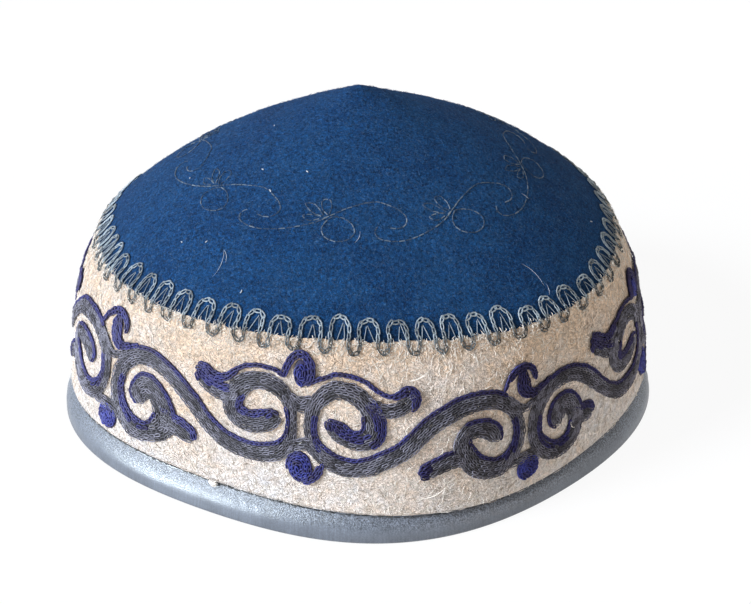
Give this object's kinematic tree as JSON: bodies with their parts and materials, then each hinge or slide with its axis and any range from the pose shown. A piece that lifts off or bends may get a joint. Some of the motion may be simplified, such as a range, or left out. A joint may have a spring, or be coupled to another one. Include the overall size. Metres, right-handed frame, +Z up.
{
  "type": "doppa cap",
  "caption": "Soft felt skullcap with a domed blue crown, a cream side band with scroll embroidery and a satin-bound rim, open underneath for the head.",
  "frame": {"origin": "middle of the rim's outline on the surface that the cap stands on", "axes": "+Z up, -Y towards the front of the cap, +X towards its right side seen from the front"},
  "size_m": [0.1942, 0.1816, 0.1067],
  "materials": {
    "blue_felt": "fine fulled wool felt with a short nap",
    "cream_felt": "coarse undyed wool felt with loose fibres",
    "satin_tape": "satin bias tape with a soft shine",
    "grey_thread": "twisted embroidery thread",
    "blue_thread": "twisted embroidery thread"
  },
  "bodies": {
    "root": {"crown": "blue_felt", "band": "cream_felt", "binding": "satin_tape"}
  },
  "joints": []
}
